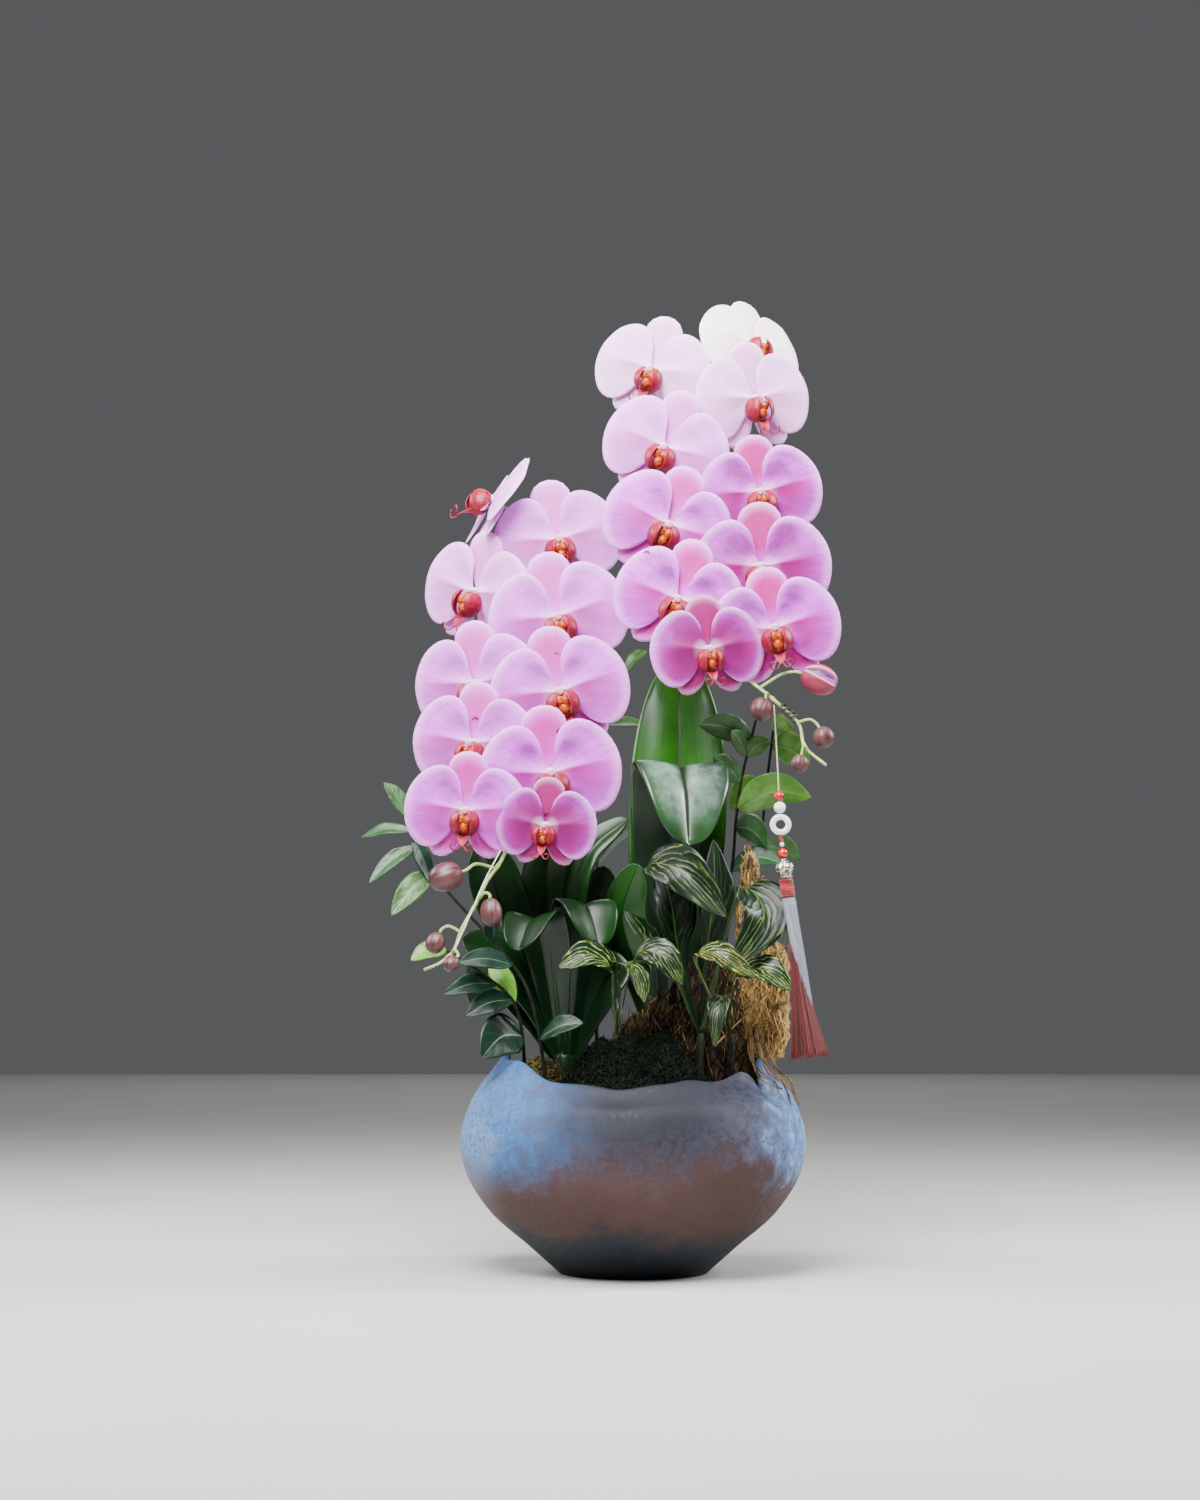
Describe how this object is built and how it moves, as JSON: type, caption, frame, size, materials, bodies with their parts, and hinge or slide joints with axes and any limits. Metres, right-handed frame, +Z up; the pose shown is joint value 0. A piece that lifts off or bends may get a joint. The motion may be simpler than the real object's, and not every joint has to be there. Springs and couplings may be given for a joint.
{
  "type": "potted moth orchid",
  "caption": "Moth orchid arrangement with arching sprays of pink blooms, leafy filler plants and a bead charm, in a round ceramic pot with a waved rim.",
  "frame": {"origin": "centre of the pot's foot, on the surface it stands on", "axes": "+Z up, the front with the blooms' faces towards -Y, +X to the right as seen from the front"},
  "size_m": [0.3895, 0.2977, 0.8461],
  "materials": {
    "pot_glaze": "matte mottled blue-grey glaze with a terracotta band and a dark foot",
    "bark_medium": "damp bark",
    "moss": "soft green moss",
    "sphagnum": "dry pale moss fibres",
    "fern_fibre": "rough brown fibres",
    "stem": "smooth yellow-green skin",
    "petal": "soft pink petal with darker veins",
    "bud_skin": "smooth rosy brown",
    "orchid_leaf": "waxy deep green",
    "branch_leaf": "satin blue-green",
    "striped_leaf": "satin green with cream stripes",
    "stake_green": "dull dark green",
    "wire_pale": "pale coating",
    "wire_dark": "dark coating",
    "thread": "natural twist",
    "red_bead": "glossy red",
    "white_bead": "polished pale stone",
    "ring_stone": "polished pale stone",
    "red_cord": "dark red wrap",
    "cap_metal": "bright worn metal",
    "tassel_white": "fine white threads",
    "tassel_red": "fine red threads"
  },
  "bodies": {
    "root": {"pot": "pot_glaze", "bloom_right_1": "petal", "bloom_right_2": "petal", "bloom_right_3": "petal", "bloom_right_4": "petal", "bloom_right_5": "petal", "bloom_right_6": "petal", "bloom_right_7": "petal", "bloom_right_8": "petal", "bloom_right_9": "petal", "bloom_right_10": "petal", "bloom_left_1": "petal", "bloom_left_2": "petal", "bloom_left_3": "petal", "bloom_left_4": "petal", "bloom_left_5": "petal", "bloom_left_6": "petal", "bloom_left_7": "petal", "bloom_left_8": "petal", "bloom_left_9": "petal", "bloom_left_10": "petal", "spike_right": "stem", "bud_right_1": "bud_skin", "bud_right_2": "bud_skin", "bud_right_3": "bud_skin", "bud_right_4": "bud_skin", "spike_left": "stem", "bud_left_1": "bud_skin", "bud_left_2": "bud_skin", "bud_left_3": "bud_skin", "bud_left_4": "bud_skin", "leaves_orchid_right": "orchid_leaf", "leaves_orchid_left": "orchid_leaf", "branch_left_outer": "branch_leaf", "branch_left_inner": "branch_leaf", "branch_right_outer": "branch_leaf", "branch_right_back": "branch_leaf", "branch_middle_back": "branch_leaf", "striped_leaves_low": "striped_leaf", "striped_leaves_tall": "striped_leaf", "striped_leaves_front": "striped_leaf", "support_stake": "stake_green", "wire_left": "wire_pale", "wire_right": "wire_dark", "charm_thread": "thread", "charm_bead_top": "red_bead", "charm_bead_white": "white_bead", "charm_ring": "ring_stone", "charm_cord": "red_cord", "charm_bead_low": "red_bead", "charm_cap": "cap_metal", "charm_wrap": "red_cord", "tassel_white": "tassel_white", "tassel_red": "tassel_red", "growing_medium": "bark_medium", "moss_mound": "moss", "sphagnum_tuft": "sphagnum", "fern_slab": "fern_fibre"}
  },
  "joints": []
}
